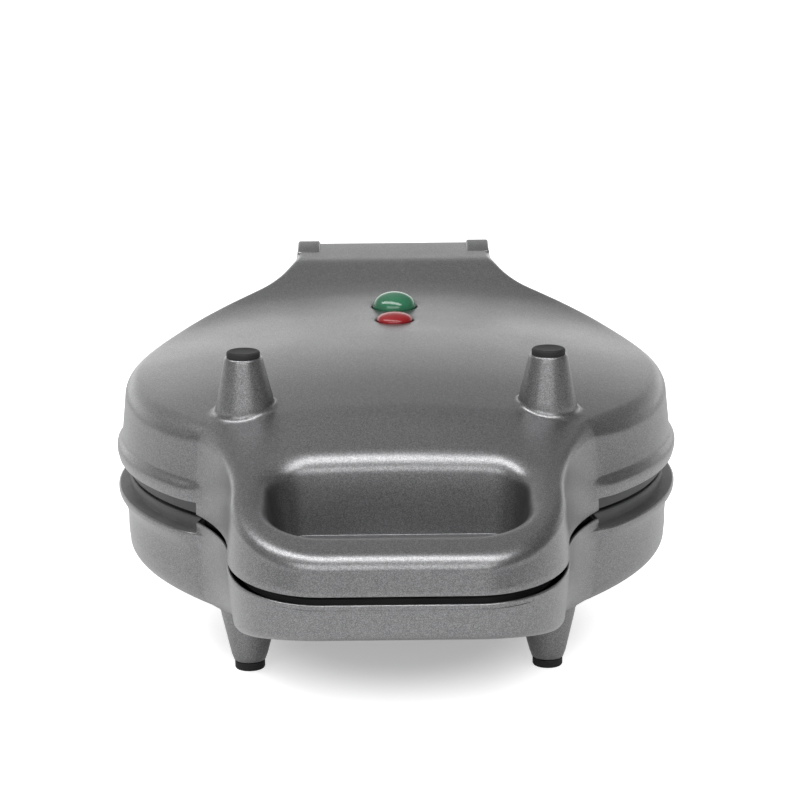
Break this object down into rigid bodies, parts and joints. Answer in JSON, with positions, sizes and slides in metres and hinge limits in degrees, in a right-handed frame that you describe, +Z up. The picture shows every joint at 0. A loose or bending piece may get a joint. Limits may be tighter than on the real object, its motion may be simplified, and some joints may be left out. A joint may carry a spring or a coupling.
{
  "type": "bubble waffle maker",
  "caption": "Closed countertop bubble waffle maker: crowned round body on feet, hinged lid with two pegs, finger recess in a broad handle, domed green and red lenses.",
  "frame": {"origin": "middle of the bounding box in plan, on the plane of the foot pads", "axes": "+Z up, -Y towards the handle, +Y towards the hinge, +X to the right seen from the handle"},
  "size_m": [0.2246, 0.32, 0.1245],
  "materials": {
    "shell": "satin metallic silver-grey paint with fine flake",
    "inner_plastic": "black, fine matt grain",
    "cast_plate": "dark non-stick coating",
    "heater_steel": "heat-tinted tube",
    "pan_aluminium": "plain rolled sheet",
    "rubber": "matt black",
    "fastener_steel": "zinc-plated",
    "thermostat_ceramic": "unglazed off-white",
    "fuse_metal": "tinned",
    "green_lens": "polished translucent green",
    "red_lens": "polished translucent red",
    "lamp_glass": "clear bulb with orange glow gas"
  },
  "bodies": {
    "base": {"base_shell": "shell", "lower_frame": "inner_plastic", "lower_cup_plate": "cast_plate", "lower_heater": "heater_steel", "lower_reflector": "pan_aluminium", "front_foot_pad_left": "rubber", "front_foot_pad_right": "rubber", "rear_foot_pad_left": "rubber", "rear_foot_pad_right": "rubber", "cord_inlet_bushing": "rubber", "hinge_pin_left": "fastener_steel", "hinge_pin_right": "fastener_steel", "lower_plate_screw_left": "fastener_steel", "lower_plate_screw_right": "fastener_steel", "base_screw_1": "fastener_steel", "base_screw_2": "fastener_steel", "base_screw_3": "fastener_steel", "base_screw_4": "fastener_steel", "lower_thermostat": "thermostat_ceramic", "terminal_block": "thermostat_ceramic", "thermal_fuse": "fuse_metal"},
    "lid": {"lid_shell": "shell", "peg_cap_left": "rubber", "peg_cap_right": "rubber", "upper_frame": "inner_plastic", "upper_cup_plate": "cast_plate", "upper_heater": "heater_steel", "upper_reflector": "pan_aluminium", "upper_thermostat": "thermostat_ceramic", "upper_plate_screw_left": "fastener_steel", "upper_plate_screw_right": "fastener_steel", "lid_screw_1": "fastener_steel", "lid_screw_2": "fastener_steel", "lid_screw_3": "fastener_steel", "lid_screw_4": "fastener_steel", "ready_lens": "green_lens", "power_lens": "red_lens", "ready_lamp": "lamp_glass", "power_lamp": "lamp_glass", "lamp_holder": "inner_plastic"}
  },
  "joints": [
    {"name": "lid_hinge", "type": "hinge", "parent": "base", "child": "lid", "pos_m": [0, 0.146, 0.061], "axis": [-1, 0, 0], "range_deg": [0, 100]}
  ]
}
